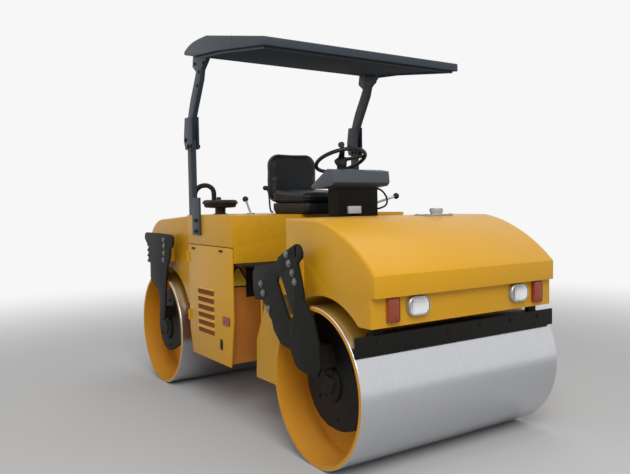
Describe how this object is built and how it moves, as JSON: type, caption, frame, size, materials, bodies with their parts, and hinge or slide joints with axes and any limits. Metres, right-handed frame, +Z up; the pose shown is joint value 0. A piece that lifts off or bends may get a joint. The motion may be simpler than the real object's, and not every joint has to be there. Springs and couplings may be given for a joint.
{
  "type": "tandem road roller",
  "caption": "Ride-on road roller with a front and a rear smooth steel drum, articulated steering, an open operator's place and a folding roll bar with a canopy.",
  "frame": {"origin": "on the ground, midway between the two drum axes and on the machine's centre plane", "axes": "+X forward (the lamp end), +Y to the machine's left, +Z up"},
  "size_m": [2.978, 1.396, 2.3225],
  "materials": {
    "yellow_paint": "gloss",
    "slate_paint": "satin",
    "black_paint": "satin",
    "drum_steel": "polished",
    "pin_steel": "bright",
    "seat_vinyl": "satin",
    "black_rubber": "matt",
    "black_plastic": "matt",
    "clear_lens": "gloss",
    "red_lens": "gloss",
    "grey_metal": "satin",
    "engine_grey": "matt"
  },
  "bodies": {
    "rear_unit": {"rear_frame": "yellow_paint", "steering_pin": "pin_steel", "rear_body": "yellow_paint", "floor_plate": "black_paint", "engine_block": "engine_grey", "rear_tank": "yellow_paint", "rear_arm_left": "black_paint", "rear_arm_right": "black_paint", "rear_hub_left": "black_paint", "rear_hub_right": "black_paint", "rear_scraper": "black_paint", "rear_lamp_left": "red_lens", "rear_lamp_right": "red_lens", "fuel_cap": "grey_metal", "seat_base": "black_paint", "seat_cushion": "seat_vinyl", "seat_back": "seat_vinyl", "console": "slate_paint", "steering_column": "black_paint", "junction_box": "grey_metal", "deck_lever": "grey_metal", "travel_lever": "grey_metal", "air_cleaner": "black_plastic", "intake_hose": "black_rubber", "lower_post_left": "slate_paint", "lower_post_right": "slate_paint"},
    "rear_roller": {"rear_drum": "drum_steel"},
    "yoke": {"articulation_yoke": "black_paint"},
    "front_unit": {"front_tank": "yellow_paint", "front_frame": "yellow_paint", "front_arm_left": "black_paint", "front_arm_right": "black_paint", "front_hub_left": "black_paint", "front_hub_right": "black_paint", "front_scraper": "black_paint", "headlight_left": "clear_lens", "headlight_right": "clear_lens", "marker_lamp_left": "red_lens", "marker_lamp_right": "red_lens", "filler_cap": "grey_metal"},
    "front_roller": {"front_drum": "drum_steel"},
    "cylinder_barrel": {"steering_barrel": "black_paint"},
    "cylinder_rod": {"steering_rod": "pin_steel"},
    "hand_wheel": {"steering_wheel": "black_plastic"},
    "left_door": {"engine_door_left": "yellow_paint"},
    "right_door": {"engine_door_right": "yellow_paint"},
    "roll_bar": {"upper_post_left": "slate_paint", "upper_post_right": "slate_paint", "canopy": "slate_paint"}
  },
  "joints": [
    {"name": "steering", "type": "hinge", "parent": "rear_unit", "child": "yoke", "pos_m": [0.2, 0, 0.65], "axis": [0, 0, 1], "range_deg": [-25, 25]},
    {"name": "oscillation", "type": "hinge", "parent": "yoke", "child": "front_unit", "pos_m": [0.33, 0, 0.65], "axis": [1, 0, 0], "range_deg": [-6, 6]},
    {"name": "front_drum_roll", "type": "hinge", "parent": "front_unit", "child": "front_roller", "pos_m": [1.06, 0, 0.4], "axis": [0, 1, 0], "continuous": true},
    {"name": "rear_drum_roll", "type": "hinge", "parent": "rear_unit", "child": "rear_roller", "pos_m": [-1.06, 0, 0.4], "axis": [0, 1, 0], "continuous": true},
    {"name": "barrel_swing", "type": "hinge", "parent": "rear_unit", "child": "cylinder_barrel", "pos_m": [0.06, -0.254, 0.602], "axis": [0, 0, 1], "range_deg": [-3, 3]},
    {"name": "rod_slide", "type": "slide", "parent": "cylinder_barrel", "child": "cylinder_rod", "axis": [0.8, 0.6, 0], "range_m": [-0.06, 0.06]},
    {"name": "wheel_turn", "type": "hinge", "parent": "rear_unit", "child": "hand_wheel", "pos_m": [0.323, 0, 1.562], "axis": [-0.4067, 0, 0.9135], "continuous": true},
    {"name": "left_door_swing", "type": "hinge", "parent": "rear_unit", "child": "left_door", "pos_m": [-0.545, 0.655, 0.67], "axis": [0, 0, 1], "range_deg": [0, 100]},
    {"name": "right_door_swing", "type": "hinge", "parent": "rear_unit", "child": "right_door", "pos_m": [-0.545, -0.655, 0.67], "axis": [0, 0, -1], "range_deg": [0, 100]},
    {"name": "roll_bar_fold", "type": "hinge", "parent": "rear_unit", "child": "roll_bar", "pos_m": [-0.492, 0, 1.72], "axis": [0, -1, 0], "range_deg": [0, 130]}
  ],
  "couplings": [
    {"joint": "barrel_swing", "follows": "steering", "ratio": -0.079},
    {"joint": "rod_slide", "follows": "steering", "m_per_rad": 0.1146}
  ]
}
